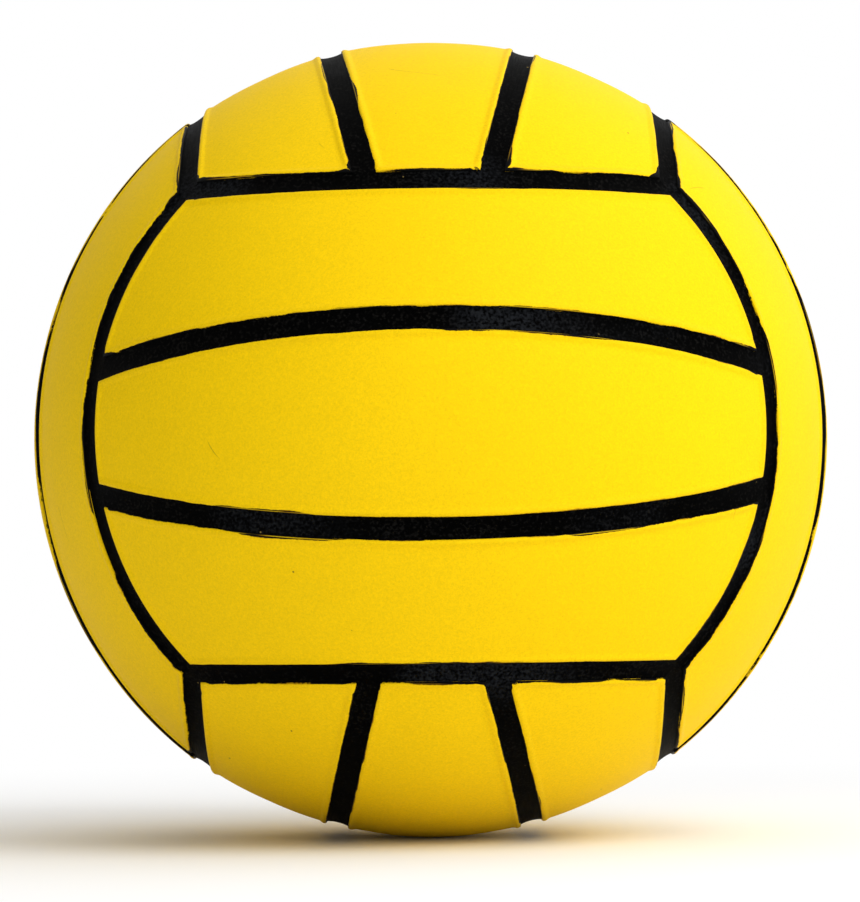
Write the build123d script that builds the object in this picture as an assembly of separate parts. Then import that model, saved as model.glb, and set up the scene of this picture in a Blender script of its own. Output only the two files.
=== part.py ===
from build123d import *

import os
from math import acos, cos, degrees, radians, sin, sqrt

# A water polo ball. Its centre is the origin, its front faces -Y, up is +Z and the valve points along +Y.
# All lengths are in millimetres and all angles in degrees.

# The cover: eighteen rubber panels with black lined channels between them
BALL_DIAMETER = 221.0
PANEL_THICKNESS = 1.3
PANEL_EDGE_RADIUS = 0.5
MIDDLE_PANEL_ANGLE = 28.2
CHANNEL_WIDTH = 6.0
LINING_THICKNESS = 0.35
LINING_HOLLOW = 0.35
LINING_SHOULDER = 1.6
LINING_GAP = 0.08

# The layers under the cover, each bonded to the next by a film of cement
CARCASS_THICKNESS = 0.45
WINDING_THICKNESS = 0.35
BLADDER_THICKNESS = 0.65
CEMENT_FILM = 0.05

# The valve plug: a head, a ribbed shank, a guide bore for the needle and a slit that closes by itself
PLUG_DIAMETER = 6.4
PLUG_LENGTH = 16.0
PLUG_HEAD_DIAMETER = 8.4
PLUG_HEAD_THICKNESS = 1.6
PLUG_HEAD_ROUND = 0.4
PLUG_RIB_COUNT = 3
PLUG_RIB_HEIGHT = 0.35
PLUG_RIB_WIDTH = 1.4
PLUG_TIP_LENGTH = 1.5
PLUG_TIP_INSET = 0.9
NEEDLE_BORE_DIAMETER = 2.2
NEEDLE_BORE_LENGTH = 9.0
NEEDLE_FUNNEL_DEPTH = 1.0
NEEDLE_FUNNEL_FLARE = 0.8
SLIT_LENGTH = 2.6
SLIT_WIDTH = 0.15

# The valve boot: a flange inside the bladder, a barrel round the plug and a neck out to the surface
BOOT_WALL = 2.2
BOOT_FLANGE_WIDTH = 12.0
BOOT_FLANGE_THICKNESS = 1.2
BOOT_END_MARGIN = 1.0
VALVE_RECESS = 0.3
VALVE_HOLE_GAP = 0.1
PLUG_CLEARANCE = 0.05

# The radii of the layers, from the outside in
ball_radius = BALL_DIAMETER / 2
panel_inner = ball_radius - PANEL_THICKNESS
lining_outer = panel_inner + LINING_THICKNESS + LINING_HOLLOW
carcass_outer = panel_inner - CEMENT_FILM
winding_outer = carcass_outer - CARCASS_THICKNESS - CEMENT_FILM
bladder_outer = winding_outer - WINDING_THICKNESS - CEMENT_FILM
bladder_inner = bladder_outer - BLADDER_THICKNESS

# The valve's radii and levels along its axis
plug_radius = PLUG_DIAMETER / 2
plug_core_radius = plug_radius - PLUG_RIB_HEIGHT
plug_head_radius = PLUG_HEAD_DIAMETER / 2
plug_top = ball_radius - VALVE_RECESS
plug_shoulder = plug_top - PLUG_HEAD_THICKNESS
plug_end = plug_top - PLUG_LENGTH
needle_bore_end = plug_top - NEEDLE_BORE_LENGTH
boot_bore_radius = plug_radius + PLUG_CLEARANCE
boot_seat_radius = plug_head_radius + PLUG_CLEARANCE
boot_radius = boot_bore_radius + BOOT_WALL
boot_end = plug_end - BOOT_END_MARGIN
valve_hole_radius = boot_radius + VALVE_HOLE_GAP

# The layout: six faces meet along circles whose planes lie ball_radius / sqrt(3) from the centre
FACE_ANGLE = degrees(acos(1 / sqrt(3)))
SQUARE_ANGLE = 90.0
half_channel = degrees(CHANNEL_WIDTH / 2 / ball_radius)
lining_half_width = CHANNEL_WIDTH / 2 - LINING_GAP
panel_end_angle = FACE_ANGLE - half_channel
CAP_STEPS = 4
CUT_MARGIN = 2.0

# Each face: its outward direction, the way its strips run, and the names of its two outer strips.
# A face is modelled looking out along +Z with its strips along X and its first outer strip at +Y.
FACES = {
    "front": ((0, -1, 0), (1, 0, 0), ("upper", "lower")),
    "back": ((0, 1, 0), (-1, 0, 0), ("upper", "lower")),
    "left": ((-1, 0, 0), (0, 0, 1), ("rear", "front")),
    "right": ((1, 0, 0), (0, 0, 1), ("front", "rear")),
    "top": ((0, 0, 1), (0, 1, 0), ("left", "right")),
    "bottom": ((0, 0, -1), (0, 1, 0), ("right", "left")),
}
VALVE_FACE = "back"
OUTWARD = (0, 0, 1)
INWARD = (0, 0, -1)
STACK = (0, 1, 0)
ALONG = (1, 0, 0)
channel_axis = (0, cos(radians(MIDDLE_PANEL_ANGLE / 2)), -sin(radians(MIDDLE_PANEL_ANGLE / 2)))


def aimed(shape, axis, start):
    """Turns a shape made about Z so that it lies about another axis, with its seam line towards start."""
    return Plane(origin=(0, 0, 0), x_dir=start, z_dir=axis) * shape


def polar(radius, angle):
    """A point in the XZ plane at a radius from the centre and an angle from Z."""
    return (radius * sin(radians(angle)), 0, radius * cos(radians(angle)))


def shell(outer, inner):
    """A hollow ball whose poles and seam line keep clear of the face that is being modelled."""
    return aimed(Sphere(outer) - Sphere(inner), ALONG, INWARD)


def cap(axis, half_angle, start):
    """All of the cover's depth, and a margin, that lies within an angle of an axis."""
    turns = [half_angle * step / CAP_STEPS for step in range(CAP_STEPS + 1)]
    low = panel_inner - CUT_MARGIN
    high = ball_radius / cos(radians(half_angle / CAP_STEPS)) + CUT_MARGIN
    outer = [polar(high, turn) for turn in turns]
    inner = [polar(low, turn) for turn in reversed(turns)]
    profile = make_face(Polyline(*outer, *inner, close=True))
    return aimed(revolve(profile, Axis.Z), axis, start)


def rounded(panel):
    """Rounds the outer edges of a panel, which are the border of its largest face."""
    outer_face = panel.faces().sort_by(SortBy.AREA)[-1]
    return fillet(outer_face.edges(), PANEL_EDGE_RADIUS)


def face_shell():
    """The cover's thickness between the two circles that end the strips of a face."""
    return shell(ball_radius, panel_inner) & cap(OUTWARD, panel_end_angle, STACK)


def cut_flat(shape, normal, distance):
    """Keeps the part of a shape that lies beyond a plane at a distance from the centre."""
    normal = Vector(*normal).normalized()
    return split(shape, Plane(origin=normal * distance, z_dir=normal), keep=Keep.TOP)


def middle_panel():
    """The middle strip, which tapers towards both ends because its channels are great circles."""
    panel = face_shell()
    for side in (-1, 1):
        towards_middle = (0, side * channel_axis[1], -channel_axis[2])
        panel = cut_flat(panel, towards_middle, CHANNEL_WIDTH / 2)
    return rounded(panel)


def outer_panel():
    """The strip on the +Y side, between the channel and the border with the next face."""
    next_face = cap(STACK, FACE_ANGLE + half_channel, INWARD)
    return rounded(cut_flat(face_shell(), channel_axis, CHANNEL_WIDTH / 2) - next_face)


def beside(radius, angle, offset):
    """A point in the XZ plane at a radius from the centre and an offset from the line at an angle from Z."""
    out = Vector(*polar(1, angle)) * sqrt(radius ** 2 - offset ** 2)
    return out + Vector(*polar(1, angle + SQUARE_ANGLE)) * offset


def lining_ring(axis, angle):
    """A full ring of lining at an angle from an axis: a trough with a flat floor and sloping shoulders."""
    trough_radius = panel_inner + LINING_THICKNESS
    trough_half_width = lining_half_width - LINING_SHOULDER
    bottom = [beside(panel_inner, angle, side * lining_half_width) for side in (-1, 1)]
    shoulder = [beside(lining_outer, angle, side * lining_half_width) for side in (1, -1)]
    trough = [beside(trough_radius, angle, side * trough_half_width) for side in (1, -1)]
    underside = ThreePointArc(bottom[0], polar(panel_inner, angle), bottom[1])
    upper_side = Polyline(bottom[1], shoulder[0], *trough, shoulder[1], bottom[0])
    return aimed(revolve(make_face(underside + upper_side), Axis.Z), axis, INWARD)


def face_lining():
    """The lining between the middle strip and the strip on the +Y side, flush with the panels' ends."""
    return lining_ring(channel_axis, SQUARE_ANGLE) & cap(OUTWARD, panel_end_angle, STACK)


def edge_lining():
    """The lining along the +Y border of a face, mitred at both corners where three borders meet."""
    lining = lining_ring(STACK, FACE_ANGLE)
    for side in (-1, 1):
        for mitre in ((-side, -1, 2), (-2 * side, 1, 1)):
            lining = cut_flat(lining, mitre, LINING_GAP)
    return lining


def valve_hole():
    """The round way through every layer for the neck of the valve boot."""
    start = bladder_inner - CUT_MARGIN
    return extrude(Pos(0, 0, start) * Circle(valve_hole_radius), ball_radius + CUT_MARGIN - start)


def pierced(panel):
    """A panel with the valve hole through its middle and the hole's outer edge rounded."""
    panel = panel - valve_hole()
    rim = panel.edges().filter_by(GeomType.CIRCLE).sort_by(lambda edge: edge.radius)[:2]
    return fillet(rim.sort_by(Axis.Z)[-1], PANEL_EDGE_RADIUS)


def layer(outer, thickness):
    """One hollow layer under the cover, with the hole for the valve."""
    return shell(outer, outer - thickness) - valve_hole()


def on_sphere(across, radius):
    """The profile point of a sphere about the centre, at a distance across from the valve's axis."""
    return (across, 0, sqrt(radius ** 2 - across ** 2))


def valve_boot():
    """The boot: barrel, flange against the bladder's inside, and neck with a seat for the plug's head."""
    flange_outer = bladder_inner - CEMENT_FILM
    flange_inner = flange_outer - BOOT_FLANGE_THICKNESS
    flange_radius = boot_radius + BOOT_FLANGE_WIDTH
    flange_middle = boot_radius + BOOT_FLANGE_WIDTH / 2
    seat = plug_shoulder - PLUG_CLEARANCE
    barrel = Polyline(on_sphere(boot_radius, flange_inner), (boot_radius, 0, boot_end),
                      (boot_bore_radius, 0, boot_end), (boot_bore_radius, 0, seat),
                      (boot_seat_radius, 0, seat), (boot_seat_radius, 0, plug_top),
                      (boot_radius, 0, plug_top), on_sphere(boot_radius, flange_outer))
    upper = ThreePointArc(*[on_sphere(across, flange_outer)
                            for across in (boot_radius, flange_middle, flange_radius)])
    rim = Line(on_sphere(flange_radius, flange_outer), on_sphere(flange_radius, flange_inner))
    under = ThreePointArc(*[on_sphere(across, flange_inner)
                            for across in (flange_radius, flange_middle, boot_radius)])
    return revolve(make_face(barrel + upper + rim + under), Axis.Z)


def plug_ribs():
    """The profile points of the ribs, from the end of the plug up to its head."""
    start = plug_end + PLUG_TIP_LENGTH
    pitch = (plug_shoulder - start) / PLUG_RIB_COUNT
    points = []
    for rib in range(PLUG_RIB_COUNT):
        middle = start + pitch * (rib + 1 / 2)
        for across, level in ((plug_core_radius, -1 / 2), (plug_radius, 0), (plug_core_radius, 1 / 2)):
            points.append((across, 0, middle + level * PLUG_RIB_WIDTH))
    return points


def valve_plug():
    """The push-in plug, bored for the needle from its head and slit through its solid end."""
    outline = Polyline((0, 0, plug_end), (plug_core_radius - PLUG_TIP_INSET, 0, plug_end),
                       (plug_core_radius, 0, plug_end + PLUG_TIP_LENGTH), *plug_ribs(),
                       (plug_core_radius, 0, plug_shoulder), (plug_head_radius, 0, plug_shoulder),
                       (plug_head_radius, 0, plug_top), (0, 0, plug_top), close=True)
    plug = revolve(make_face(outline), Axis.Z)
    head_rim = plug.edges().filter_by(GeomType.CIRCLE).sort_by(lambda edge: edge.radius)[-2:]
    plug = fillet(head_rim.sort_by(Axis.Z)[-1], PLUG_HEAD_ROUND)
    bore_radius = NEEDLE_BORE_DIAMETER / 2
    funnel_radius = bore_radius + NEEDLE_FUNNEL_FLARE
    bore = Polyline((0, 0, needle_bore_end), (bore_radius, 0, needle_bore_end),
                    (bore_radius, 0, plug_top - NEEDLE_FUNNEL_DEPTH), (funnel_radius, 0, plug_top),
                    (0, 0, plug_top), close=True)
    slit_depth = PLUG_LENGTH - NEEDLE_BORE_LENGTH
    slit = Pos(0, 0, plug_end + slit_depth / 2) * Box(SLIT_LENGTH, SLIT_WIDTH, slit_depth)
    return plug - revolve(make_face(bore), Axis.Z) - slit


def build_ball():
    """Makes every piece in its place.

    Returns the pieces by name: panels and linings face by face, then the layers inside and the valve.
    """
    middle, outer = middle_panel(), outer_panel()
    face_strip, edge_strip = face_lining(), edge_lining()
    half_turn = Rot(0, 0, 180)
    pieces = {}
    for face, (outward, along, rows) in FACES.items():
        place = Plane(origin=(0, 0, 0), x_dir=along, z_dir=outward)
        pieces[f"{face}_panel_middle"] = place * (pierced(middle) if face == VALVE_FACE else middle)
        for row, turn in zip(rows, (Rot(), half_turn)):
            pieces[f"{face}_panel_{row}"] = place * turn * outer
            pieces[f"{face}_channel_{row}"] = place * turn * face_strip
            pieces[f"{face}_edge_channel_{row}"] = place * turn * edge_strip
    outward, along, _ = FACES[VALVE_FACE]
    place = Plane(origin=(0, 0, 0), x_dir=along, z_dir=outward)
    pieces["carcass"] = place * layer(carcass_outer, CARCASS_THICKNESS)
    pieces["winding"] = place * layer(winding_outer, WINDING_THICKNESS)
    pieces["bladder"] = place * layer(bladder_outer, BLADDER_THICKNESS)
    pieces["valve_boot"] = place * valve_boot()
    pieces["valve_plug"] = place * valve_plug()
    return pieces


os.makedirs("parts", exist_ok=True)
for name, piece in build_ball().items():
    export_step(piece, f"parts/{name}.step")
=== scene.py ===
"""The looks of a water polo ball: lipped rubber panels, painted channels, the valve and a plain studio."""

import logging
import math
from collections.abc import Iterator, Mapping
from dataclasses import dataclass, field
from enum import Enum
from functools import reduce

import bpy
import numpy as np
from mathutils import Matrix, Vector


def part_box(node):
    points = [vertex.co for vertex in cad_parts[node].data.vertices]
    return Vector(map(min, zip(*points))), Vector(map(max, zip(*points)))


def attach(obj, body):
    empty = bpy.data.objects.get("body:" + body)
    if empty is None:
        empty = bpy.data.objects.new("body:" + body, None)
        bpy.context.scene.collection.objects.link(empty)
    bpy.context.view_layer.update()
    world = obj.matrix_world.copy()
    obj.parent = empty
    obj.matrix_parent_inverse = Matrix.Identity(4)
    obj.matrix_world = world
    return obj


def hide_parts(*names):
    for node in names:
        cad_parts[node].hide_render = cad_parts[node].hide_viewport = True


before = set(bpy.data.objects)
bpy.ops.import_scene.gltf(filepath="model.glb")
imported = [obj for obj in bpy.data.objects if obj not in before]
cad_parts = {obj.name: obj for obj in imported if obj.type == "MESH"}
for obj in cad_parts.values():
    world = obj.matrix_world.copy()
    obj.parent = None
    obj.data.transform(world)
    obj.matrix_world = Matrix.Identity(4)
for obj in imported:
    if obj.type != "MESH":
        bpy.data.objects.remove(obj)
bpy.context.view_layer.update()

BALL_BODY = "ball"
MM = 0.001
NOISE_MEAN = 0.5
LOG = logging.getLogger("water_polo_ball")

Array = np.ndarray
Colour = tuple[float, float, float]
Triple = tuple[float, float, float]
Span = tuple[float, float]


class Face(Enum):
    """A face of the cover: its outward direction, the way its strips run and the names of its outer strips.

    In a face's own frame X runs along the strips, Z points outward and the first outer strip is at +Y.
    """

    FRONT = ("front", (0, -1, 0), (1, 0, 0), ("upper", "lower"))
    BACK = ("back", (0, 1, 0), (-1, 0, 0), ("upper", "lower"))
    LEFT = ("left", (-1, 0, 0), (0, 0, 1), ("rear", "front"))
    RIGHT = ("right", (1, 0, 0), (0, 0, 1), ("front", "rear"))
    TOP = ("top", (0, 0, 1), (0, 1, 0), ("left", "right"))
    BOTTOM = ("bottom", (0, 0, -1), (0, 1, 0), ("right", "left"))

    def __init__(self, label: str, outward: Triple, along: Triple, rows: tuple[str, str]) -> None:
        """Keeps the face's name, directions and strip names.

        Args:
            label: The face's name.
            outward: The direction that it looks in.
            along: The direction that its strips run in.
            rows: The names of its outer strips.
        """
        self.label = label
        self.rows = rows
        self.axes = np.array([along, np.cross(outward, along), outward], float)

    def place(self, local: Array, turned: bool = False) -> Array:
        """Turns points from the face's frame into the ball's, with a half turn first for the far strip."""
        half_turn = np.array([-1, -1, 1]) if turned else np.ones(3)
        return (local * half_turn) @ self.axes


class Slot(Enum):
    """The material slots of the record, one for each kind of new piece."""

    PANEL = "yellow_rubber"
    CHANNEL = "black_channel"


def unit(vectors: Array) -> Array:
    """Gives vectors the length 1."""
    return vectors / np.linalg.norm(vectors, axis=-1, keepdims=True)


def ease(values: Array, low: float, high: float) -> Array:
    """A smooth rise from 0 at low to 1 at high."""
    share = np.clip((values - low) / (high - low), 0, 1)
    return share * share * (3 - 2 * share)


def quarter_round(share: Array) -> Array:
    """The drop of a rounded edge, from 0 where share is 0 to 1 where it is 1."""
    return 1 - np.sqrt(1 - share ** 2)


def in_metres(*millimetres: float) -> tuple[float, ...]:
    """Lengths in millimetres, turned into metres."""
    return tuple(length * MM for length in millimetres)


@dataclass(frozen=True)
class SeamLayout:
    """Where the channels run: six faces of three strips, each face square to its neighbours."""

    radius: float
    channel_width: float = 6.0 * MM
    middle_strip_angle: float = math.radians(28.2)

    @property
    def half_channel(self) -> float:
        """Half the width of a channel, as an angle at the ball's centre."""
        return self.channel_width / 2 / self.radius

    @property
    def border_angle(self) -> float:
        """The angle between a face's outward direction and its borders."""
        return math.acos(1 / math.sqrt(3))

    @property
    def tilt(self) -> float:
        """The angle between a face's outward direction and the planes of its two channels."""
        return self.middle_strip_angle / 2

    def from_middle(self, directions: Array) -> Array:
        """Measures how far each direction is from the middle line of the nearest channel.

        Args:
            directions: Unit vectors from the ball's centre, in the frame of any face.

        Returns:
            The distances over the ball's surface.
        """
        x, y, z = np.moveaxis(np.abs(directions), -1, 0)
        border = math.cos(self.border_angle)
        on_face = (z > border) & (y < border)
        past_end = ~on_face & (x > border) & (z < border)
        outward = np.where(on_face, z, np.where(past_end, x, y))
        stack = np.where(on_face, y, np.where(past_end, z, x))
        across = np.arcsin(np.clip(stack * math.cos(self.tilt) - outward * math.sin(self.tilt), -1, 1))
        border_latitude = math.pi / 2 - self.border_angle
        end = np.abs(np.arcsin(np.clip(outward, -1, 1)) - border_latitude)
        side = np.abs(np.arcsin(np.clip(stack, -1, 1)) - border_latitude)
        return self.radius * np.minimum(np.abs(across), np.minimum(end, side))

    def from_edge(self, directions: Array) -> Array:
        """Measures how far each direction on a panel is from the panel's own edge."""
        return np.maximum(self.from_middle(directions) - self.channel_width / 2, 0)


@dataclass(frozen=True)
class Border:
    """A circle that bounds a panel, which lies within an angle of the circle's axis."""

    axis: Triple
    angle: float

    def inset(self, by: float) -> "Border":
        """The circle moved into the panel by an angle."""
        return Border(self.axis, self.angle - by)

    def meets(self, other: "Border", side: int) -> Array:
        """Finds where two borders cross.

        Args:
            other: The other border.
            side: Which of the two crossings is meant: 1 for the one at +X and -1 for the one at -X.

        Returns:
            The direction of the crossing, in the face's frame.
        """
        first, second = np.array(self.axis), np.array(other.axis)
        normal = np.cross(first, second)
        shared = first @ second
        turned = 1 - shared ** 2
        own = (math.cos(self.angle) - shared * math.cos(other.angle)) / turned
        others = (math.cos(other.angle) - shared * math.cos(self.angle)) / turned
        base = own * first + others * second
        rise = math.sqrt((1 - base @ base) / (normal @ normal))
        return max((base + rise * normal, base - rise * normal), key=lambda point: side * point[0])

    def arc(self, start: Array, end: Array, steps: int) -> Array:
        """Spreads points along the border.

        Args:
            start: The direction that the points start from.
            end: The direction that they reach, the short way round.
            steps: How many steps they take.

        Returns:
            The points' directions, with both ends.
        """
        axis = np.array(self.axis)
        east = unit(start - (start @ axis) * axis)
        north = np.cross(axis, east)
        turns = np.linspace(0, math.atan2(end @ north, end @ east), steps + 1)[:, None]
        ring = np.cos(turns) * east + np.sin(turns) * north
        return math.cos(self.angle) * axis + math.sin(self.angle) * ring


@dataclass(frozen=True)
class Outline:
    """The four borders of a strip in the face's frame. Both ends lie on one circle."""

    lower: Border
    upper: Border
    end: Border

    def sides(self, inset: float, long_steps: int, short_steps: int) -> tuple[Array, Array, Array, Array]:
        """The lower, right, upper and left sides, moved into the strip by an angle.

        Args:
            inset: How far the sides lie inside the borders, as an angle at the ball's centre.
            long_steps: Steps along the lower and upper sides.
            short_steps: Steps along the two ends.

        Returns:
            Points along each side, in order round the strip, each side with both of its corners.
        """
        lower, upper, end = (border.inset(inset) for border in (self.lower, self.upper, self.end))
        corners = [lower.meets(end, -1), lower.meets(end, 1), upper.meets(end, 1), upper.meets(end, -1)]
        return (lower.arc(corners[0], corners[1], long_steps), end.arc(corners[1], corners[2], short_steps),
                upper.arc(corners[2], corners[3], long_steps), end.arc(corners[3], corners[0], short_steps))

    def corners(self) -> Array:
        """The directions of the strip's four corners."""
        return np.array([side[0] for side in self.sides(0, 1, 1)])


@dataclass(frozen=True)
class Strip:
    """One panel's place in the cover.

    The crown is how far the panel's middle swells beyond the foot of its lip. A turned strip is the outer
    one on the far side of its face, and a pierced one holds the valve.
    """

    face: Face
    row: str
    outline: Outline
    crown: float
    turned: bool = False
    pierced: bool = False

    @property
    def node(self) -> str:
        """The name of the panel's CAD node."""
        return f"{self.face.label}_panel_{self.row}"


class Sketch:
    """The points, faces and point values of a mesh that is being made."""

    def __init__(self, *values: str) -> None:
        """Starts an empty mesh.

        Args:
            values: The names of the values that its points carry.
        """
        self.points: list[Array] = []
        self.values: dict[str, list[Array]] = {name: [] for name in values}
        self.faces: list[Array] = []
        self.count = 0

    def add(self, points: Array, **values: Array | float) -> Array:
        """Adds points.

        Args:
            points: The points, with X, Y and Z last.
            values: Each named value, for all the points or for each.

        Returns:
            The points' numbers, in the same arrangement.
        """
        shape = points.shape[:-1]
        numbers = self.count + np.arange(int(np.prod(shape))).reshape(shape)
        self.points.append(points.reshape(-1, 3))
        for name, stored in self.values.items():
            stored.append(np.broadcast_to(values[name], shape).ravel())
        self.count += numbers.size
        return numbers

    def bridge(self, outer: Array, inner: Array, flipped: bool = False) -> None:
        """Joins two closed rings of points by a band of faces."""
        band = np.stack([outer, np.roll(outer, -1), np.roll(inner, -1), inner], -1)
        self.faces.append(band[:, ::-1] if flipped else band)

    def fill(self, grid: Array, flipped: bool = False, without: Array | None = None) -> None:
        """Covers a grid of points with faces.

        Args:
            grid: The points' numbers in rows and columns.
            flipped: Whether the faces look the other way.
            without: True for each cell of the grid that stays open.
        """
        cells = np.stack([grid[:-1, :-1], grid[1:, :-1], grid[1:, 1:], grid[:-1, 1:]], -1)
        kept = cells.reshape(-1, 4) if without is None else cells[~without]
        self.faces.append(kept[:, ::-1] if flipped else kept)

    def piece(self, name: str, sharp_angle: float) -> bpy.types.Object:
        """Makes the mesh object from the points that faces use.

        Args:
            name: The piece's name.
            sharp_angle: Edges that turn by more than this stay sharp.

        Returns:
            The object, linked to the scene.
        """
        mesh = bpy.data.meshes.new(name)
        used, faces = np.unique(np.concatenate(self.faces), return_inverse=True)
        mesh.from_pydata(np.concatenate(self.points)[used].tolist(), [], faces.reshape(-1, 4).tolist())
        for value, stored in self.values.items():
            attribute = mesh.attributes.new(value, "FLOAT", "POINT")
            attribute.data.foreach_set("value", np.concatenate(stored)[used].astype(np.float32))
        mesh.shade_smooth()
        mesh.set_sharp_from_angle(angle=sharp_angle)
        made = bpy.data.objects.new(name, mesh)
        bpy.context.scene.collection.objects.link(made)
        return made


class PanelSketch(Sketch):
    """The mesh of one panel. Its points carry distances from the edge, round it and from the next corner."""

    def __init__(self, strip: Strip, radius: float) -> None:
        """Starts an empty panel.

        Args:
            strip: The panel's place.
            radius: The ball's radius.
        """
        super().__init__("inset", "along", "corner")
        self.strip = strip
        self.radius = radius
        self.corners = strip.outline.corners()

    def put(self, directions: Array, drop: Array | float, inset: Array | float,
            along: Array | float = 0.0) -> Array:
        """Adds points to the panel.

        Args:
            directions: Unit vectors in the frame of the panel's face.
            drop: How far the points lie below the ball's radius.
            inset: How far they lie from the panel's edge.
            along: How far round the edge they lie.

        Returns:
            The points' numbers, in the same arrangement.
        """
        corner = self.radius * np.arccos(np.clip(np.max(directions @ self.corners.T, axis=-1), -1, 1))
        points = directions * np.expand_dims(self.radius - drop, -1)
        distances = {"inset": inset, "along": along, "corner": corner}
        values = {name: np.asarray(distance) / MM for name, distance in distances.items()}
        return self.add(self.strip.face.place(points, self.strip.turned), **values)


def round_grid(grid: Array) -> Array:
    """The border of a grid of points as one ring, in order round it."""
    return np.concatenate([grid[:-1, 0], grid[-1, :-1], grid[:0:-1, -1], grid[0, :0:-1]])


class Wire:
    """A value in a node tree. Arithmetic on it adds Math nodes."""

    def __init__(self, graph: "Graph", socket: bpy.types.NodeSocket | None) -> None:
        """Wraps an output socket."""
        self.graph = graph
        self.socket = socket

    def __add__(self, other: "Wire | float") -> "Wire":
        """This value plus another."""
        return self.graph.math("ADD", self, other)

    def __sub__(self, other: "Wire | float") -> "Wire":
        """This value less another."""
        return self.graph.math("SUBTRACT", self, other)

    def __rsub__(self, other: float) -> "Wire":
        """A number less this value."""
        return self.graph.math("SUBTRACT", other, self)

    def __mul__(self, other: "Wire | float") -> "Wire":
        """This value times another."""
        return self.graph.math("MULTIPLY", self, other)

    __radd__ = __add__
    __rmul__ = __mul__

    def __abs__(self) -> "Wire":
        """This value without its sign."""
        return self.graph.math("ABSOLUTE", self)

    def rises(self, low: float, high: float) -> "Wire":
        """A smooth rise from 0 where this value is low to 1 where it is high."""
        inputs = {"Value": self, "From Min": low, "From Max": high}
        return self.graph.add("ShaderNodeMapRange", {"interpolation_type": "SMOOTHSTEP"}, inputs, "Result")

    def falls(self, low: float, high: float) -> "Wire":
        """A smooth fall from 1 where this value is low to 0 where it is high."""
        return 1 - self.rises(low, high)


class Graph:
    """The node tree of a material or of the world.

    The first three values are the numbers of a Mix node's colour sockets. The core of a dot, where the dot
    is full, is a share of its radius.
    """

    COLOUR_A, COLOUR_B, COLOUR_RESULT = 6, 7, 2
    DOT_CORE = 0.7

    def __init__(self, tree: bpy.types.NodeTree) -> None:
        """Empties a node tree."""
        self.tree = tree
        tree.nodes.clear()

    def add(self, kind: str, settings: Mapping[str, object], inputs: Mapping[str | int, object],
            output: str | int = 0) -> Wire:
        """Adds a node.

        Args:
            kind: The node's type.
            settings: The node's own properties, which are set first.
            inputs: The value or the wire of each socket that isn't left as it is.
            output: Which output is wanted, where the node has any.

        Returns:
            That output.
        """
        node = self.tree.nodes.new(kind)
        for name, value in settings.items():
            setattr(node, name, value)
        for name, value in inputs.items():
            if isinstance(value, Wire):
                self.tree.links.new(value.socket, node.inputs[name])
            else:
                node.inputs[name].default_value = value
        return Wire(self, node.outputs[output] if node.outputs else None)

    def math(self, operation: str, *values: Wire | float) -> Wire:
        """One step of arithmetic."""
        return self.add("ShaderNodeMath", {"operation": operation}, dict(enumerate(values)))

    def largest(self, *values: Wire | float) -> Wire:
        """The largest of several values."""
        return reduce(lambda first, second: self.math("MAXIMUM", first, second), values)

    def blend(self, share: Wire, low: Wire | Colour, high: Wire | Colour) -> Wire:
        """Mixes two colours.

        Args:
            share: The share of the second colour, from 0 to 1.
            low: The first colour.
            high: The second colour.

        Returns:
            The mixed colour.
        """
        low, high = (value if isinstance(value, Wire) else (*value, 1) for value in (low, high))
        inputs = {0: share, self.COLOUR_A: low, self.COLOUR_B: high}
        return self.add("ShaderNodeMix", {"data_type": "RGBA"}, inputs, self.COLOUR_RESULT)

    def scaled(self, vector: Wire | Triple, by: Wire | float) -> Wire:
        """A vector or colour times a value."""
        return self.add("ShaderNodeVectorMath", {"operation": "SCALE"}, {0: vector, "Scale": by})

    def dot(self, vector: Wire, aim: Triple) -> Wire:
        """How far a vector reaches along a direction."""
        return self.add("ShaderNodeVectorMath", {"operation": "DOT_PRODUCT"}, {0: vector, 1: aim}, "Value")

    def place(self) -> Wire:
        """Where a point lies on its object, in millimetres."""
        return self.scaled(self.add("ShaderNodeTexCoord", {}, {}, "Object"), 1 / MM)

    def value(self, name: str) -> Wire:
        """A value that the mesh's points carry."""
        return self.add("ShaderNodeAttribute", {"attribute_name": name}, {}, "Fac")

    def point(self, x: Wire | float, y: Wire | float, z: Wire | float = 0.0) -> Wire:
        """A vector from three values."""
        return self.add("ShaderNodeCombineXYZ", {}, {"X": x, "Y": y, "Z": z})

    def dots(self, where: Wire, spacing: float, size: float) -> Wire:
        """Scattered round dots of a radius, about a spacing apart in space: 1 inside, 0 outside."""
        cells = self.add("ShaderNodeTexVoronoi", {}, {"Vector": where, "Scale": 1 / spacing}, "Distance")
        return (cells * spacing).falls(size * self.DOT_CORE, size)

    def surface(self, colour: Wire, roughness: Wire, height: Wire, **constants: float) -> None:
        """Finishes a material.

        Args:
            colour: The base colour.
            roughness: The roughness.
            height: The fine relief, in millimetres.
            constants: Other values of the shader, by the names of its sockets with _ for spaces.
        """
        normal = self.add("ShaderNodeBump", {}, {"Height": height, "Distance": MM}, "Normal")
        inputs = {"Base Color": colour, "Roughness": roughness, "Normal": normal}
        inputs.update({name.replace("_", " "): value for name, value in constants.items()})
        shader = self.add("ShaderNodeBsdfPrincipled", {}, inputs)
        self.add("ShaderNodeOutputMaterial", {}, {"Surface": shader})


def new_material(name: str) -> tuple[bpy.types.Material, Graph]:
    """Makes an empty material.

    Args:
        name: The material's name.

    Returns:
        The material and its node tree.
    """
    material = bpy.data.materials.new(name)
    material.use_nodes = True
    return material, Graph(material.node_tree)


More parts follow.
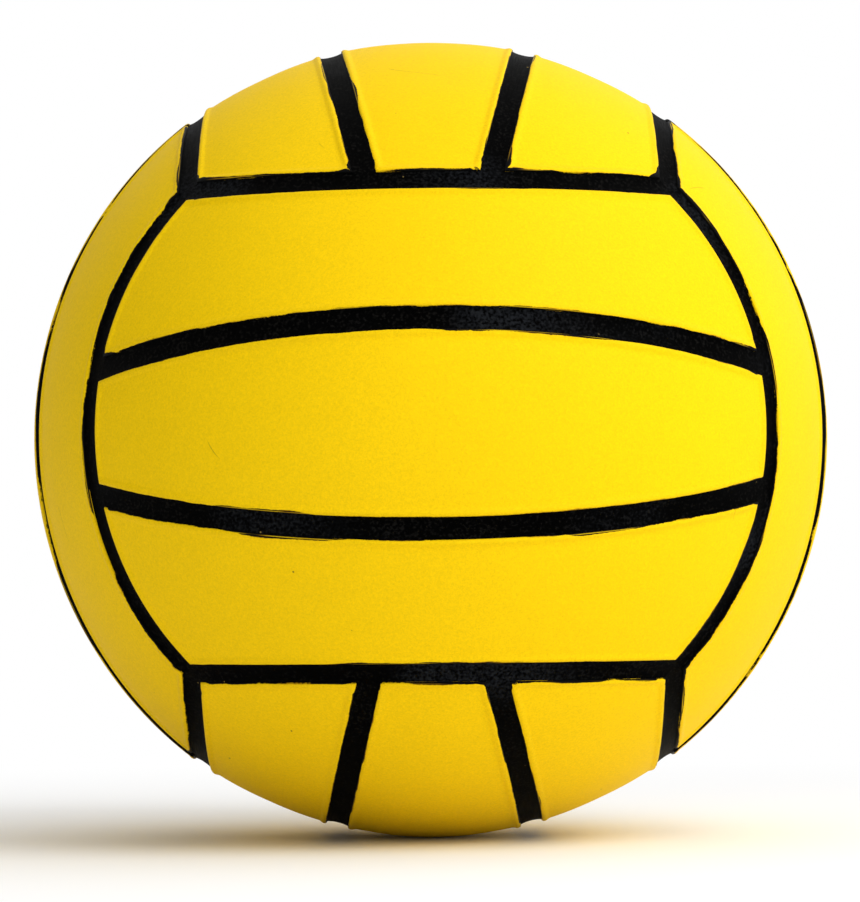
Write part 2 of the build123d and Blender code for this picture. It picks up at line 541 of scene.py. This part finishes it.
@dataclass(frozen=True)
class Patches:
    """Soft random patches: their size, their strength and how many finer layers they have."""

    size: float
    strength: float = 1.0
    detail: float = 2.0

    def on(self, where: Wire) -> Wire:
        """Lays the patches out.

        Args:
            where: A place, in the units of the patches' size.

        Returns:
            A value about 0, mostly within 0.3 times the strength.
        """
        inputs = {"Vector": where, "Scale": 1 / self.size, "Detail": self.detail}
        noise = where.graph.add("ShaderNodeTexNoise", {"noise_dimensions": "3D"}, inputs, "Fac")
        return (noise - NOISE_MEAN) * self.strength


@dataclass(frozen=True)
class PanelSpot:
    """Where a point lies on a panel, in millimetres: its place and what the panel's points carry."""

    place: Wire
    inset: Wire
    along: Wire
    corner: Wire

    @classmethod
    def on(cls, graph: Graph) -> "PanelSpot":
        """Reads the place and the values in a material."""
        return cls(graph.place(), graph.value("inset"), graph.value("along"), graph.value("corner"))

    def brushed(self, stretch: Span, row: float = 0.0) -> Wire:
        """A place for brush strokes, which are long along the panel's edge and thin across it."""
        return self.inset.graph.point(self.along * stretch[0], self.inset * stretch[1], row)


@dataclass(frozen=True)
class PaintEdge:
    """The ragged edge of the channels' paint on a panel. Lengths are in millimetres."""

    reach: float = 0.17
    fade: float = 0.05
    wander: tuple[Patches, ...] = (Patches(24, 1.5), Patches(4, 0.45), Patches(0.7, 0.3, 3))
    strokes: Patches = Patches(1, 0.35, 3)
    stroke_stretch: Span = (0.09, 1.6)
    blobs: Patches = Patches(6, 5)
    blob_mean: float = 0.05
    blob_least: float = -0.12
    blob_span: Span = (1, 6)
    overrun_reach: float = 0.5
    overrun_places: Patches = Patches(42, detail=1)
    overrun_runs: Patches = Patches(35, detail=1)
    overrun_row: float = 5.0
    overrun_span: Span = (0.06, 0.2)
    streaks: Patches = Patches(1)
    streak_stretch: Span = (0.05, 2.2)
    streak_row: float = 3.1
    streak_overrun: float = 0.07
    streak_span: Span = (0.02, 0.1)
    streak_start: Span = (0.12, 0.2)
    streak_end: Span = (0.32, 0.48)
    streak_corner: Span = (3, 8)
    streak_strength: float = 0.6

    def overrun(self, spot: PanelSpot) -> Wire:
        """Finds the stretches where the paint runs further over the brink.

        Args:
            spot: The point on the panel.

        Returns:
            1 on such a stretch, 0 elsewhere.
        """
        run = spot.place.graph.point(spot.along, self.overrun_row)
        drift = self.overrun_places.on(spot.place) + self.overrun_runs.on(run)
        return drift.rises(*self.overrun_span)

    def inside(self, spot: PanelSpot, overrun: Wire) -> Wire:
        """Measures how far inside the paint's edge a point lies.

        Args:
            spot: The point on the panel.
            overrun: 1 where the paint runs further over the brink.

        Returns:
            The distance, which is below 0 outside the paint.
        """
        blobs = spot.place.graph.largest(self.blobs.on(spot.place) + self.blob_mean, self.blob_least)
        reach = self.reach + overrun * self.overrun_reach
        for patches in self.wander:
            reach = reach + patches.on(spot.place)
        strokes = self.strokes.on(spot.brushed(self.stroke_stretch))
        return reach + strokes + spot.corner.falls(*self.blob_span) * blobs - spot.inset

    def missed(self, spot: PanelSpot, overrun: Wire) -> Wire:
        """Finds the thin streaks that the brush left bare.

        Args:
            spot: The point on the panel.
            overrun: 1 where the paint runs further over the brink.

        Returns:
            The share of bare rubber.
        """
        strokes = self.streaks.on(spot.brushed(self.streak_stretch, self.streak_row))
        bare = (strokes + overrun * self.streak_overrun).rises(*self.streak_span)
        on_brink = spot.inset.rises(*self.streak_start) * spot.inset.falls(*self.streak_end)
        return bare * spot.corner.rises(*self.streak_corner) * on_brink * self.streak_strength

    def cover(self, spot: PanelSpot) -> tuple[Wire, Wire]:
        """Lays the paint on.

        Args:
            spot: The point on the panel.

        Returns:
            The share of paint, and how far inside the paint's edge the point lies.
        """
        overrun = self.overrun(spot)
        inside = self.inside(spot, overrun)
        return inside.rises(-self.fade, self.fade) * (1 - self.missed(spot, overrun)), inside


@dataclass(frozen=True)
class Blemishes:
    """Small dark specks and a few hairlines. Lengths are in millimetres."""

    speck_spacing: float = 14.0
    speck_size: float = 0.33
    speck_strength: float = 0.8
    hairs: Patches = Patches(55, detail=1)
    hair_width: Span = (0.0006, 0.0013)
    hair_places: Patches = Patches(23, detail=1)
    hair_span: Span = (0.16, 0.2)
    hair_strength: float = 0.45

    def on(self, place: Wire) -> Wire:
        """Finds the specks and hairlines.

        Args:
            place: The place on the panel.

        Returns:
            How dark they are there, from 0 to 1.
        """
        specks = place.graph.dots(place, self.speck_spacing, self.speck_size) * self.speck_strength
        hair = abs(self.hairs.on(place)).falls(*self.hair_width)
        here = self.hair_places.on(place).rises(*self.hair_span)
        return place.graph.largest(specks, hair * here * self.hair_strength)


@dataclass(frozen=True)
class PanelRubber:
    """Yellow grippy rubber, with the channels' black paint brushed over the brink of its lips."""

    colour: Colour = (0.93, 0.61, 0.003)
    paint: Colour = (0.002, 0.002, 0.002)
    stain: Colour = (0.33, 0.13, 0.004)
    speck: Colour = (0.06, 0.035, 0.01)
    roughness: float = 0.56
    sheen_level: float = 0.038
    edge: PaintEdge = PaintEdge()
    blemishes: Blemishes = Blemishes()
    fringe_width: float = 0.3
    fringe_places: Patches = Patches(9)
    fringe_span: Span = (-0.05, 0.2)
    fringe_strength: float = 0.75
    grain: Patches = Patches(0.4, detail=3)
    mottle: Patches = Patches(0.75)
    clouds: Patches = Patches(32, 0.05, 3)
    skin: Patches = Patches(1.6, 0.02)
    wear: Patches = Patches(12, 0.1)
    grain_shade: float = 0.3
    mottle_shade: float = 0.24
    # Painted shade: how much darker the rubber is drawn beside the lip, and over which insets in mm.
    painted_lip_shade: float = 0.05
    painted_lip_shade_span: Span = (0.4, 3.2)
    grain_relief: float = 0.035
    mottle_relief: float = 0.03
    paint_relief: float = 0.03
    grain_roughness: float = 0.12
    paint_gloss: float = 0.08

    def material(self) -> bpy.types.Material:
        """Makes the material.

        Returns:
            The new material.
        """
        made, graph = new_material("panel_rubber")
        spot = PanelSpot.on(graph)
        place = spot.place
        cover, inside = self.edge.cover(spot)
        fringe = self.fringe_places.on(place).rises(*self.fringe_span) * self.fringe_strength
        fringe = fringe * inside.rises(-self.fringe_width, 0.0)
        grain, mottle = self.grain.on(place), self.mottle.on(place)
        shade = 1 + self.clouds.on(place) + grain * self.grain_shade + mottle * self.mottle_shade
        # Painted shade: the colour is darkened beside the raised lip, from 0.4 to 3.2 mm in from the panel's
        # edge.
        shade = shade - spot.inset.falls(*self.painted_lip_shade_span) * self.painted_lip_shade
        rubber = graph.blend(self.blemishes.on(place), graph.scaled(self.colour, shade), self.speck)
        colour = graph.blend(cover, graph.blend(fringe, rubber, self.stain), self.paint)
        roughness = self.roughness + grain * self.grain_roughness + self.wear.on(place)
        relief = grain * self.grain_relief + mottle * self.mottle_relief + self.skin.on(place)
        graph.surface(colour, roughness - cover * self.paint_gloss, relief + cover * self.paint_relief,
                      Specular_IOR_Level=self.sheen_level)
        return made


@dataclass(frozen=True)
class ChannelPaint:
    """Black brushed paint on the channels' floor, a few cream flecks where it missed, and patches of painted
    sheen.
    """

    colour: Colour = (0.0002, 0.0002, 0.0002)
    worn: Colour = (0.006, 0.0056, 0.005)
    # Painted sheen: a bluish grey that stands in for the paint's reflection.
    painted_sheen_colour: Colour = (0.012, 0.0135, 0.016)
    fleck: Colour = (0.36, 0.25, 0.07)
    roughness: float = 0.58
    sheen_level: float = 0.012
    strokes: Patches = Patches(1, detail=3)
    stroke_stretch: Span = (0.12, 2.4)
    grain: Patches = Patches(0.8)
    places: Patches = Patches(14)
    fleck_spacing: float = 4.2
    fleck_size: float = 0.32
    fleck_span: Span = (0.0, 0.08)
    fleck_sides: Span = (1.0, 2.0)
    wear: float = 0.6
    grain_wear: float = 2.0
    worn_span: Span = (0.0, 0.5)
    # Where the painted sheen lies and how strong it is.
    painted_sheen_patches: Patches = Patches(40, detail=1)
    painted_sheen_span: Span = (0.03, 0.25)
    painted_sheen_mean: float = 0.4
    painted_sheen_grain: float = 3.0
    stroke_roughness: float = 0.3
    place_roughness: float = 0.2
    stroke_relief: float = 0.05
    grain_relief: float = 0.03
    fleck_relief: float = 0.02

    def material(self) -> bpy.types.Material:
        """Makes the material.

        Returns:
            The new material.
        """
        made, graph = new_material("channel_paint")
        place, along, across = graph.place(), graph.value("along"), graph.value("across")
        brushed = graph.point(along * self.stroke_stretch[0], across * self.stroke_stretch[1])
        strokes = self.strokes.on(brushed)
        grain, places = self.grain.on(place), self.places.on(place)
        flecks = graph.dots(place, self.fleck_spacing, self.fleck_size) * places.rises(*self.fleck_span)
        flecks = flecks * abs(across).rises(*self.fleck_sides)
        worn = (strokes * self.wear + places * self.wear + grain * self.grain_wear).rises(*self.worn_span)
        # Painted reflection: bluish-grey patches mixed into the black stand in for the paint's sheen.
        painted_sheen_share = self.painted_sheen_patches.on(place).rises(*self.painted_sheen_span) * (grain * self.painted_sheen_grain + self.painted_sheen_mean)
        black = graph.blend(painted_sheen_share, graph.blend(worn, self.colour, self.worn), self.painted_sheen_colour)
        colour = graph.blend(flecks, black, self.fleck)
        roughness = self.roughness + strokes * self.stroke_roughness + places * self.place_roughness
        relief = strokes * self.stroke_relief + grain * self.grain_relief + flecks * self.fleck_relief
        graph.surface(colour, roughness, relief, Specular_IOR_Level=self.sheen_level)
        return made


@dataclass(frozen=True)
class MouldedRubber:
    """Plain rubber of one colour, with a fine moulded skin and a little dust."""

    name: str
    colour: Colour
    dust: Colour
    roughness: float
    sheen_level: float = 0.4
    places: Patches = Patches(5, detail=3)
    grain: Patches = Patches(0.25)
    dust_span: Span = (0.0, 0.3)
    dust_strength: float = 0.6
    grain_relief: float = 0.015
    place_relief: float = 0.02
    grain_roughness: float = 0.1
    place_roughness: float = 0.25

    def material(self) -> bpy.types.Material:
        """Makes the material.

        Returns:
            The new material.
        """
        made, graph = new_material(self.name)
        place = graph.place()
        places, grain = self.places.on(place), self.grain.on(place)
        colour = graph.blend(places.rises(*self.dust_span) * self.dust_strength, self.colour, self.dust)
        roughness = self.roughness + places * self.place_roughness + grain * self.grain_roughness
        relief = grain * self.grain_relief + places * self.place_relief
        graph.surface(colour, roughness, relief, Specular_IOR_Level=self.sheen_level)
        return made


@dataclass(frozen=True)
class ThreadWinding:
    """Nylon thread, wound every way and set in rubber. The aims are square to the three lays of thread."""

    thread: Colour = (0.62, 0.6, 0.54)
    rubber: Colour = (0.09, 0.085, 0.08)
    pitch: float = 0.8
    aims: tuple[Triple, ...] = ((0.8, 0.5, 0.33), (-0.4, 0.84, 0.37), (0.2, -0.5, 0.84))
    sway: Patches = Patches(30, 9)
    thread_span: Span = (-0.3, 0.8)
    roughness: float = 0.75
    thread_gloss: float = 0.2
    thread_relief: float = 0.12

    def laid(self, place: Wire, aim: Triple) -> Wire:
        """Threads that lie square to a direction: 1 on a thread, 0 between two."""
        phase = place.graph.dot(place, aim) * (2 * math.pi / self.pitch)
        return place.graph.math("SINE", phase + self.sway.on(place)).rises(*self.thread_span)

    def material(self) -> bpy.types.Material:
        """Makes the material.

        Returns:
            The new material.
        """
        made, graph = new_material("thread_winding")
        place = graph.place()
        threads = graph.largest(*(self.laid(place, aim) for aim in self.aims))
        colour = graph.blend(threads, self.rubber, self.thread)
        graph.surface(colour, self.roughness - threads * self.thread_gloss, threads * self.thread_relief)
        return made


@dataclass
class OuterPieces:
    """Pieces of the ball's outside that share one finish."""

    layout: SeamLayout
    sharp_angle: float = math.radians(50)
    pieces: list[bpy.types.Object] = field(default_factory=list)

    def settle(self, made: bpy.types.Object, node: str, slot: Slot) -> None:
        """Puts a piece on the ball in place of a CAD node.

        Args:
            made: The piece.
            node: The CAD node that it stands for.
            slot: The material slot that it stands for; not used.
        """
        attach(made, BALL_BODY)
        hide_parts(node)
        self.pieces.append(made)
        LOG.info("%s: %d faces", made.name, len(made.data.polygons))

    def dress(self, finish: PanelRubber | ChannelPaint) -> None:
        """Dresses every piece.

        Args:
            finish: The finish that they share.
        """
        material = finish.material()
        for piece in self.pieces:
            piece.data.materials.append(material)


@dataclass
class Cover(OuterPieces):
    """The eighteen rubber panels. Each is a closed shell with a raised lip round its outer edge."""

    thickness: float = 1.3 * MM
    brink_width: float = 0.85 * MM
    brink_drop: float = 0.55 * MM
    lip_rise: float = 0.2 * MM
    lip_height: float = 0.45 * MM
    lip_width: float = 1.6 * MM
    lip_insets: tuple[float, ...] = in_metres(
        0, 0.03, 0.08, 0.16, 0.28, 0.45, 0.7, 0.95, 1.2, 1.5, 1.8, 2.1, 2.5)
    top_inset: float = 3.4 * MM
    middle_crown: float = -0.23 * MM
    outer_crown: float = -0.18 * MM
    resting_crown: float = 0.25 * MM
    resting_face: Face = Face.BOTTOM
    crown_width: float = 17.0 * MM
    long_steps: int = 96
    short_steps: int = 24
    valve_face: Face = Face.BACK
    hole_radius: float = 5.55 * MM
    hole_round: float = 0.5 * MM
    hole_swell: float = 0.25 * MM
    hole_swell_reach: float = 18.0 * MM
    hole_insets: tuple[float, ...] = in_metres(3.4, 2.2, 1.3, 0.8, 0.5, 0.28, 0.12, 0.03, 0)
    hole_cells: int = 5

    def drop(self, inset: Array | float, crown: float) -> Array:
        """How far a panel's surface lies below the ball's radius.

        Args:
            inset: The distance from the panel's edge.
            crown: How far the panel's middle swells beyond the foot of its lip.

        Returns:
            The drop, which is below 0 on the raised lip.
        """
        brink = self.brink_drop * quarter_round(1 - np.clip(inset / self.brink_width, 0, 1))
        lip_end = self.brink_width + self.lip_width
        flank = self.lip_height * ease(inset, self.brink_width, lip_end)
        return brink + flank - self.lip_rise - crown * ease(inset, lip_end, lip_end + self.crown_width)

    def hole_drop(self, directions: Array) -> Array:
        """How far the valve hole's rim and the low swelling round it lie below the rest of the panel.

        Args:
            directions: Unit vectors in the face's own frame.

        Returns:
            The drop, which is below 0 on the swelling.
        """
        across = self.layout.radius * np.linalg.norm(directions[..., :2], axis=-1)
        rim = quarter_round(1 - np.clip((across - self.hole_radius) / self.hole_round, 0, 1))
        swelling = 1 - ease(across, self.hole_radius, self.hole_swell_reach)
        return self.hole_round * rim - self.hole_swell * swelling

    def middle_outline(self) -> Outline:
        """Finds the borders of a middle strip.

        Returns:
            The strip's outline.
        """
        half, tilt = self.layout.half_channel, self.layout.tilt
        lower, upper = (Border((0, side * math.cos(tilt), math.sin(tilt)), math.pi / 2 - half)
                        for side in (1, -1))
        return Outline(lower, upper, Border((0, 0, 1), self.layout.border_angle - half))

    def outer_outline(self) -> Outline:
        """Finds the borders of the outer strip at +Y.

        Returns:
            The strip's outline.
        """
        half, tilt, border = self.layout.half_channel, self.layout.tilt, self.layout.border_angle
        lower = Border((0, math.cos(tilt), -math.sin(tilt)), math.pi / 2 - half)
        return Outline(lower, Border((0, -1, 0), math.pi - border - half), Border((0, 0, 1), border - half))

    def strips(self) -> Iterator[Strip]:
        """Goes through the panels' places face by face.

        Returns:
            The strips: of each face the middle one, then the two outer ones.
        """
        for face in Face:
            crown = self.resting_crown if face is self.resting_face else self.middle_crown
            yield Strip(face, "middle", self.middle_outline(), crown, pierced=face is self.valve_face)
            for row, turned in zip(face.rows, (False, True)):
                yield Strip(face, row, self.outer_outline(), self.outer_crown, turned)

    def patch(self, outline: Outline, inset: float) -> Array:
        """Spreads a grid of directions between the sides of a strip.

        Args:
            outline: The strip's borders.
            inset: How far inside the borders the grid ends.

        Returns:
            Unit vectors by steps along the strip and steps across it.
        """
        sides = outline.sides(inset / self.layout.radius, self.long_steps, self.short_steps)
        lower, right, upper, left = sides[0], sides[1], sides[2][::-1], sides[3][::-1]
        along = np.linspace(0, 1, self.long_steps + 1)[:, None, None]
        across = np.linspace(0, 1, self.short_steps + 1)[None, :, None]
        between_long = (1 - across) * lower[:, None] + across * upper[:, None]
        between_ends = (1 - along) * left[None] + along * right[None]
        corners = ((1 - across) * ((1 - along) * lower[0] + along * lower[-1])
                   + across * ((1 - along) * upper[0] + along * upper[-1]))
        return unit(between_long + between_ends - corners)

    def add_lip(self, sketch: PanelSketch, foot: Array) -> Array:
        """Builds the side wall, the brink and the lip as rings round the panel.

        Args:
            sketch: The panel's mesh.
            foot: The numbers of the points round the panel's underside.

        Returns:
            The numbers of the points of the innermost ring.
        """
        outline, crown, ring = sketch.strip.outline, sketch.strip.crown, foot
        edge = round_grid(self.patch(outline, 0))
        steps = self.layout.radius * np.linalg.norm(np.roll(edge, -1, 0) - edge, axis=1)
        travel = np.concatenate([[0], np.cumsum(steps)[:-1]])
        for inset in self.lip_insets:
            directions = round_grid(self.patch(outline, inset))
            inner = sketch.put(directions, self.drop(inset, crown), inset, travel)
            sketch.bridge(ring, inner)
            ring = inner
        return ring

    def add_hole(self, sketch: PanelSketch, grid: Array, top: Array, under: Array) -> Array:
        """Builds the valve hole, as rings from a block of the panel's grid to the hole's round wall.

        Args:
            sketch: The panel's mesh.
            grid: The directions of the grid on the panel's outside.
            top: The numbers of that grid's points.
            under: The numbers of the points on the panel's underside.

        Returns:
            True for each cell of the grid that the hole takes the place of.
        """
        shape = (self.long_steps, self.short_steps)
        cells = tuple(slice(steps // 2 - self.hole_cells, steps // 2 + self.hole_cells) for steps in shape)
        block = tuple(slice(cell.start, cell.stop + 1) for cell in cells)
        ring, aims = round_grid(top[block]), unit(round_grid(grid[block])[:, :2])
        for inset in self.hole_insets:
            across = self.hole_radius + inset
            height = np.full(len(aims), math.sqrt(self.layout.radius ** 2 - across ** 2))
            rim = unit(np.column_stack([aims * across, height]))
            rim_inset = self.layout.from_edge(rim)
            drop = self.drop(rim_inset, sketch.strip.crown) + self.hole_drop(rim)
            inner = sketch.put(rim, drop, rim_inset)
            sketch.bridge(ring, inner)
            ring = inner
        foot = sketch.put(rim, self.thickness, rim_inset)
        sketch.bridge(ring, foot)
        sketch.bridge(round_grid(under[block]), foot, flipped=True)
        opening = np.zeros(shape, bool)
        opening[cells] = True
        return opening

    def panel(self, strip: Strip) -> bpy.types.Object:
        """Builds one panel.

        Args:
            strip: The panel's place.

        Returns:
            The panel.
        """
        sketch, opening = PanelSketch(strip, self.layout.radius), None
        under = sketch.put(self.patch(strip.outline, 0), self.thickness, 0.0)
        lip = self.add_lip(sketch, round_grid(under))
        grid = self.patch(strip.outline, self.top_inset)
        inset = self.layout.from_edge(grid)
        swelling = self.hole_drop(grid) if strip.pierced else 0
        top = sketch.put(grid, self.drop(inset, strip.crown) + swelling, inset)
        sketch.bridge(lip, round_grid(top))
        if strip.pierced:
            opening = self.add_hole(sketch, grid, top, under)
        sketch.fill(top, without=opening)
        sketch.fill(under, flipped=True, without=opening)
        return sketch.piece(f"{strip.node}.rubber", self.sharp_angle)

    def build(self) -> None:
        """Builds every panel in place of its CAD node."""
        for strip in self.strips():
            self.settle(self.panel(strip), strip.node, Slot.PANEL)


@dataclass
class Channels(OuterPieces):
    """The twenty-four black linings. Their tops are one smooth trough that follows the channels round."""

    middle_depth: float = 0.95 * MM
    side_depth: float = 0.55 * MM
    floor_depth: float = 1.3 * MM
    roundness: float = 2.4
    overlap: float = 0.05 * MM
    long_steps: int = 90
    cross_steps: int = 16

    def depth(self, directions: Array) -> Array:
        """How far the trough lies below the ball's radius."""
        across = np.clip(2 * self.layout.from_middle(directions) / self.layout.channel_width, 0, 1)
        return self.middle_depth - (self.middle_depth - self.side_depth) * across ** self.roundness

    def across(self) -> Array:
        """The angles of the rows of points across a channel, closer together at its sides."""
        half = (self.layout.channel_width / 2 + self.overlap) / self.layout.radius
        return half * np.sin(np.linspace(-math.pi / 2, math.pi / 2, self.cross_steps + 1))

    def face_lining(self) -> tuple[Array, Array]:
        """The channel between the middle strip and the strip at +Y.

        Returns:
            Directions by steps along and across the channel, and the angles along it.
        """
        tilt, off = self.layout.tilt, self.across()
        end = self.layout.border_angle - self.layout.half_channel
        reach = np.arccos((math.cos(end) + np.sin(off) * math.sin(tilt)) / (np.cos(off) * math.cos(tilt)))
        turn = np.linspace(-1, 1, self.long_steps + 1)[:, None] * reach
        middle = np.array([0, math.sin(tilt), math.cos(tilt)])
        axis = np.array([0, math.cos(tilt), -math.sin(tilt)])
        along = np.cos(turn)[..., None] * middle + np.sin(turn)[..., None] * np.array([1, 0, 0])
        return np.cos(off)[:, None] * along + np.sin(off)[:, None] * axis, turn

    def edge_lining(self) -> tuple[Array, Array]:
        """The channel along the +Y border of a face, mitred where three borders meet.

        Returns:
            Directions by steps along and across the channel, and the angles along it.
        """
        # The mitres at +X lie in the planes x + y = 2z and y + z = 2x, which meet along (1, 1, 1).
        polar = self.layout.border_angle + self.across()
        share = np.cos(polar) / np.sin(polar) / math.sqrt(5)
        reach = np.minimum(np.arccos(share) - math.atan2(1, 2), np.arccos(-share) - math.atan2(2, 1))
        turn = np.linspace(-1, 1, self.long_steps + 1)[:, None] * reach
        level = np.broadcast_to(np.cos(polar), turn.shape)
        return np.stack([np.sin(polar) * np.sin(turn), level, np.sin(polar) * np.cos(turn)], -1), turn

    def lining(self, name: str, face: Face, turned: bool, run: tuple[Array, Array]) -> bpy.types.Object:
        """Builds one lining.

        Args:
            name: The CAD node that the lining stands for.
            face: The face that it belongs to.
            turned: Whether it is the one on the far side.
            run: Its directions and the angles along it.

        Returns:
            The lining.
        """
        radius, sketch = self.layout.radius, Sketch("along", "across")
        directions, turn = run
        values = {"along": turn * radius / MM, "across": self.across() * radius / MM}
        tops = directions * (radius - self.depth(directions))[..., None]
        top = sketch.add(face.place(tops, turned), **values)
        under = sketch.add(face.place(directions * (radius - self.floor_depth), turned), **values)
        outward = np.cross(tops[-1, 0] - tops[0, 0], tops[0, -1] - tops[0, 0]) @ tops[0, 0] > 0
        sketch.fill(top, flipped=not outward)
        sketch.fill(under, flipped=outward)
        sketch.bridge(round_grid(under), round_grid(top), flipped=not outward)
        return sketch.piece(f"{name}.paint", self.sharp_angle)

    def build(self) -> None:
        """Builds every lining in place of its CAD node."""
        runs = {"channel": self.face_lining(), "edge_channel": self.edge_lining()}
        for face in Face:
            for row, turned in zip(face.rows, (False, True)):
                for kind, run in runs.items():
                    node = f"{face.label}_{kind}_{row}"
                    self.settle(self.lining(node, face, turned, run), node, Slot.CHANNEL)


@dataclass
class Inside:
    """The layers under the cover and the valve, which keep their CAD shapes."""

    finishes: dict[str, MouldedRubber | ThreadWinding] = field(default_factory=lambda: {
        "carcass": MouldedRubber("carcass_rubber", (0.03, 0.028, 0.026), (0.06, 0.056, 0.05), 0.6),
        "winding": ThreadWinding(),
        "bladder": MouldedRubber("butyl_rubber", (0.012, 0.012, 0.013), (0.03, 0.03, 0.03), 0.45),
        "valve_boot": MouldedRubber("boot_rubber", (0.014, 0.014, 0.015), (0.04, 0.038, 0.034), 0.5),
        "valve_plug": MouldedRubber("plug_rubber", (0.02, 0.02, 0.021), (0.05, 0.048, 0.044), 0.42),
    })

    def dress(self) -> None:
        """Gives each CAD node that still shows its own finish."""
        for node, finish in self.finishes.items():
            material = finish.material()
            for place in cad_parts[node].material_slots:
                place.material = material
            LOG.info("%s: %s", node, material.name)


@dataclass
class Studio:
    """A pale floor, a bright room that is lighter to the right, one broad lamp and the camera.

    The floor fades into white between two distances from the ball, in millimetres. The room brightens as a
    direction turns towards its aim. The camera's lens and frame are given in pixels.
    """

    floor_level: float
    floor_radius: float = 6.0
    floor_sides: int = 96
    floor_colour: Colour = (0.95, 0.95, 0.945)
    floor_fade: Span = (150.0, 560.0)
    white: Colour = (1.0, 1.0, 1.0)
    white_strength: float = 1.0
    room_dim: float = 0.17
    room_bright: float = 1.2
    room_aim: Triple = (1.0, 0.0, 0.15)
    room_turn: Span = (-0.85, 0.5)
    lamp_aim: Triple = (0.54, -0.48, 0.62)
    lamp_distance: float = 1.0
    lamp_size: float = 0.75
    lamp_power: float = 4.1
    camera_distance: float = 1.1715
    camera_rise: float = math.radians(-2.19)
    camera_roll: float = math.radians(0.55)
    focal_pixels: float = 4200.8
    frame_pixels: tuple[int, int] = (860, 902)
    ball_pixel: tuple[float, float] = (430.7, 439.0)
    sensor: float = 36.0

    def light(self, strength: Wire | float) -> dict[str, object]:
        """The inputs of a white light of a strength."""
        return {"Color": (*self.white, 1), "Strength": strength}

    def backdrop(self, graph: Graph) -> Wire:
        """1 for the rays that should meet the plain white background, 0 for those that carry light."""
        names = ("Is Camera Ray", "Is Glossy Ray", "Is Transmission Ray")
        return graph.largest(*(graph.add("ShaderNodeLightPath", {}, {}, name) for name in names))

    def floor(self) -> None:
        """Builds the floor: it keeps the shadow near the ball and fades into white far away."""
        turns = np.linspace(0, 2 * math.pi, self.floor_sides, endpoint=False)
        rim = np.stack([np.cos(turns), np.sin(turns), np.zeros_like(turns)], -1) * self.floor_radius
        mesh = bpy.data.meshes.new("floor")
        mesh.from_pydata((rim + np.array([0, 0, self.floor_level])).tolist(), [], [range(len(turns))])
        made = bpy.data.objects.new("floor", mesh)
        bpy.context.scene.collection.objects.link(made)
        material, graph = new_material("studio_floor")
        out = graph.add("ShaderNodeVectorMath", {"operation": "LENGTH"}, {0: graph.place()}, "Value")
        matt = graph.add("ShaderNodeBsdfDiffuse", {}, {"Color": (*self.floor_colour, 1)})
        white = graph.add("ShaderNodeEmission", {}, self.light(self.white_strength))
        share = out.rises(*self.floor_fade) * self.backdrop(graph)
        mixed = graph.add("ShaderNodeMixShader", {}, {0: share, 1: matt, 2: white})
        graph.add("ShaderNodeOutputMaterial", {}, {"Surface": mixed})
        mesh.materials.append(material)

    def room(self) -> None:
        """Lights the scene from all round, with more light from the right."""
        world = bpy.data.worlds.new("room")
        bpy.context.scene.world = world
        world.use_nodes = True
        graph = Graph(world.node_tree)
        lean = graph.dot(graph.add("ShaderNodeTexCoord", {}, {}, "Generated"), self.room_aim)
        level = self.room_dim + lean.rises(*self.room_turn) * (self.room_bright - self.room_dim)
        lit = graph.add("ShaderNodeBackground", {}, self.light(level))
        white = graph.add("ShaderNodeBackground", {}, self.light(self.white_strength))
        mixed = graph.add("ShaderNodeMixShader", {}, {0: self.backdrop(graph), 1: lit, 2: white})
        graph.add("ShaderNodeOutputWorld", {}, {"Surface": mixed})

    def lamp(self) -> None:
        """Hangs the broad lamp up to the right."""
        light = bpy.data.lights.new("lamp", "AREA")
        light.shape, light.size, light.energy = "DISK", self.lamp_size, self.lamp_power
        made = bpy.data.objects.new("lamp", light)
        made.location = Vector(self.lamp_aim).normalized() * self.lamp_distance
        made.rotation_euler = made.location.to_track_quat("Z", "Y").to_euler()
        bpy.context.scene.collection.objects.link(made)

    def camera(self) -> None:
        """Sets the camera: a little below the ball's centre and turned a little, with a long lens."""
        rise, roll = self.camera_rise, self.camera_roll
        ahead = Vector((0, math.cos(rise), -math.sin(rise)))
        level, upright = Vector((1, 0, 0)), Vector((0, math.sin(rise), math.cos(rise)))
        right = level * math.cos(roll) - upright * math.sin(roll)
        up = level * math.sin(roll) + upright * math.cos(roll)
        width, height = self.frame_pixels
        data = bpy.data.cameras.new("camera")
        data.sensor_width = self.sensor
        data.lens = self.focal_pixels / max(width, height) * self.sensor
        data.shift_x = (width / 2 - self.ball_pixel[0]) / max(width, height)
        data.shift_y = (self.ball_pixel[1] - height / 2) / max(width, height)
        made = bpy.data.objects.new("camera", data)
        turned = Matrix((right, up, -ahead)).transposed().to_4x4()
        made.matrix_world = Matrix.Translation(-ahead * self.camera_distance) @ turned
        bpy.context.scene.collection.objects.link(made)
        bpy.context.scene.camera = made

    def build(self) -> None:
        """Builds the floor, the lights and the camera."""
        self.floor()
        self.room()
        self.lamp()
        self.camera()
        bpy.context.scene.view_settings.view_transform = "Standard"
        LOG.info("studio: floor, room, lamp and camera")


def main() -> None:
    """Builds the ball and its studio in order."""
    logging.basicConfig(level=logging.INFO, format="%(name)s: %(message)s")
    layout = SeamLayout(radius=-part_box("front_panel_middle")[0].y)
    cover = Cover(layout)
    cover.build()
    cover.dress(PanelRubber())
    channels = Channels(layout)
    channels.build()
    channels.dress(ChannelPaint())
    Inside().dress()
    Studio(floor_level=-layout.radius).build()


if __name__ == "__main__":
    main()
